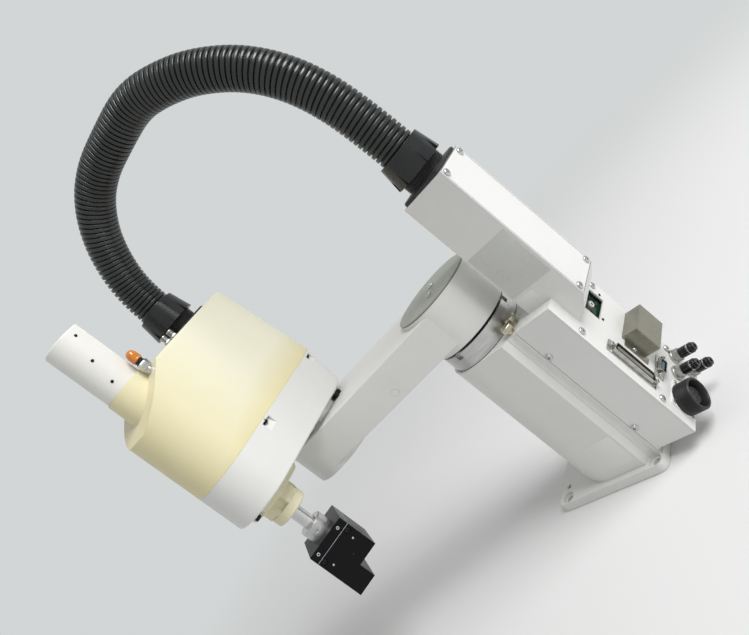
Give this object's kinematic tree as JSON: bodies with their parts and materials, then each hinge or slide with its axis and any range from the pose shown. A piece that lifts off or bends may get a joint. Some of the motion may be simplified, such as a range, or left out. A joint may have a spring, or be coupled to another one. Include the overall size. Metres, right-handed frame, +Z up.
{
  "type": "four-axis robot arm",
  "caption": "Small bench-mounted SCARA robot arm with a corrugated conduit over its two links and a block on its vertical spline shaft.",
  "frame": {"origin": "where the axis of joint 1 meets the underside of the mounting flange", "axes": "+Z up along the axis of joint 1, +X the way the robot faces, +Y to its left"},
  "size_m": [0.415, 0.3049, 0.6721],
  "materials": {
    "white_casting": "white enamel over cast aluminium",
    "white_sheet": "white enamel on sheet steel",
    "hub_cap_grey": "satin grey",
    "cream_plastic": "moulded plastic, yellowed with age",
    "white_plastic": "moulded plastic",
    "bright_steel": "ground and polished",
    "plated_screw": "bright nickel plate",
    "black_screw": "black oxide",
    "stop_bolt_zinc": "yellow passivated zinc",
    "aluminium_part": "machined",
    "black_anodised": "black anodised",
    "motor_black": "black enamel",
    "black_plastic": "black nylon",
    "hose_black": "black corrugated nylon",
    "belt_rubber": "toothed belt",
    "board_green": "circuit board",
    "connector_metal": "tinned shell",
    "hood_olive": "olive grey",
    "lens_orange": "translucent orange"
  },
  "bodies": {
    "base": {"base_casting": "white_casting", "connector_box": "white_sheet", "connector_panel": "white_sheet", "interface_board": "board_green", "cable_duct": "white_sheet", "duct_cover": "white_sheet", "cover_screws": "plated_screw", "signal_connector": "connector_metal", "user_connector": "connector_metal", "connector_hood": "hood_olive", "power_connector": "black_plastic", "air_fittings": "black_plastic", "duct_gland": "black_plastic", "duct_gland_nut": "black_plastic", "joint1_motor": "motor_black", "joint1_circular_spline": "bright_steel", "joint1_ring": "bright_steel", "joint1_stop_bolts": "stop_bolt_zinc", "hose_base_half": "hose_black"},
    "joint1_generator": {"joint1_wave_generator": "bright_steel"},
    "arm1": {"joint1_output": "bright_steel", "arm1_link": "white_casting", "arm1_plug": "black_plastic", "hub_cap": "hub_cap_grey", "hub_cap_screws": "plated_screw", "arm1_bottom_cover": "white_sheet", "joint2_ring": "bright_steel", "joint2_circular_spline": "bright_steel", "joint2_stop_screws": "black_screw"},
    "arm2": {"joint2_output": "bright_steel", "joint2_motor": "motor_black", "arm2_casting": "white_casting", "arm2_cover": "cream_plastic", "tower_cover": "white_plastic", "arm2_gland": "black_plastic", "arm2_gland_nut": "black_plastic", "arm2_fittings": "connector_metal", "lamp_post": "connector_metal", "lamp_lens": "lens_orange", "shaft_plate": "cream_plastic", "shaft_boss": "cream_plastic", "spline_housing": "aluminium_part", "motor_deck": "aluminium_part", "joint3_motor": "motor_black", "joint4_motor": "motor_black", "joint3_belt": "belt_rubber", "joint4_belt": "belt_rubber", "hose_arm_half": "hose_black"},
    "joint2_generator": {"joint2_wave_generator": "bright_steel"},
    "quill_spline": {"spline_nut": "bright_steel"},
    "quill": {"shaft": "bright_steel", "shaft_collar": "bright_steel", "collar_screw": "plated_screw", "tool_plate": "black_anodised", "tool_block": "black_anodised"},
    "quill_screw": {"screw_nut": "bright_steel"},
    "joint3_drive_pulley": {"joint3_pulley": "aluminium_part"},
    "joint4_drive_pulley": {"joint4_pulley": "aluminium_part"}
  },
  "joints": [
    {"name": "joint1", "type": "hinge", "parent": "base", "child": "arm1", "pos_m": [0, 0, 0.25], "axis": [0, 0, 1], "range_deg": [-124.1, 85.9], "deforming": ["hose_base_half"]},
    {"name": "joint1_input", "type": "hinge", "parent": "base", "child": "joint1_generator", "pos_m": [0, 0, 0.2], "axis": [0, 0, 1], "range_deg": [-6877, 9933]},
    {"name": "joint2", "type": "hinge", "parent": "arm1", "child": "arm2", "pos_m": [0.21261, 0.07362, 0.27], "axis": [0, 0, 1], "range_deg": [-217.2, 62.8], "deforming": ["hose_arm_half"]},
    {"name": "joint2_input", "type": "hinge", "parent": "arm2", "child": "joint2_generator", "pos_m": [0.21261, 0.07362, 0.257], "axis": [0, 0, 1], "range_deg": [-5091.8, 17598.2]},
    {"name": "joint4", "type": "hinge", "parent": "arm2", "child": "quill_spline", "pos_m": [0.1989, 0.19787, 0.32], "axis": [0, 0, 1], "range_deg": [-360, 360]},
    {"name": "joint3", "type": "slide", "parent": "quill_spline", "child": "quill", "axis": [0, 0, 1], "range_m": [-0.115, 0.005]},
    {"name": "joint3_screw", "type": "hinge", "parent": "quill_spline", "child": "quill_screw", "pos_m": [0.1989, 0.19787, 0.37], "axis": [0, 0, 1], "range_deg": [-92, 2072]},
    {"name": "joint3_drive", "type": "hinge", "parent": "arm2", "child": "joint3_drive_pulley", "pos_m": [0.2301, 0.13391, 0.38], "axis": [0, 0, 1], "range_deg": [-173.82, 3953.82]},
    {"name": "joint4_drive", "type": "hinge", "parent": "arm2", "child": "joint4_drive_pulley", "pos_m": [0.18239, 0.12864, 0.34], "axis": [0, 0, 1], "range_deg": [-689.27, 689.27]}
  ],
  "couplings": [
    {"joint": "joint1_input", "follows": "joint1", "ratio": -80},
    {"joint": "joint2_input", "follows": "joint2", "ratio": -81},
    {"joint": "joint3_screw", "follows": "joint3", "rad_per_m": -314.16},
    {"joint": "joint3_drive", "follows": "joint3", "rad_per_m": -599.76},
    {"joint": "joint4_drive", "follows": "joint4", "ratio": 1.9091}
  ]
}
